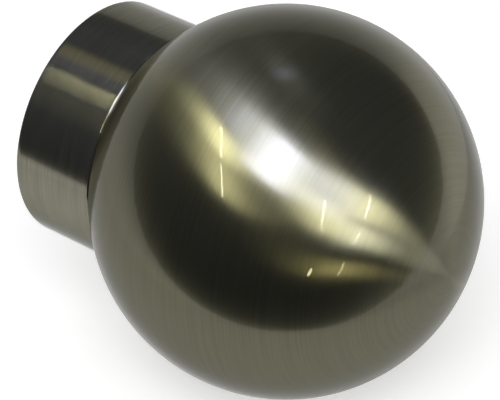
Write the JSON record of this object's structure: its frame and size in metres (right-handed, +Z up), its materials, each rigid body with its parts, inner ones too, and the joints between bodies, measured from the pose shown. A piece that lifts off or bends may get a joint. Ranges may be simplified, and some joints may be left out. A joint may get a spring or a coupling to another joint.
{
  "type": "curtain pole finial",
  "caption": "Ball finial with a straight collar that slips over the end of a round curtain pole and is clamped by a grub screw.",
  "frame": {"origin": "on the pole axis, where the pole's cut end seats at the bottom of the socket", "axes": "+X along the pole axis from the pole to the ball, +Z up, with the grub screw underneath"},
  "size_m": [0.045, 0.04, 0.04],
  "materials": {
    "antique_brass": "dark antique brass plating, brushed round the axis, under a clear lacquer",
    "screw_steel": "plain zinc plated steel"
  },
  "bodies": {
    "root": {"finial_body": "antique_brass", "grub_screw": "screw_steel"}
  },
  "joints": []
}
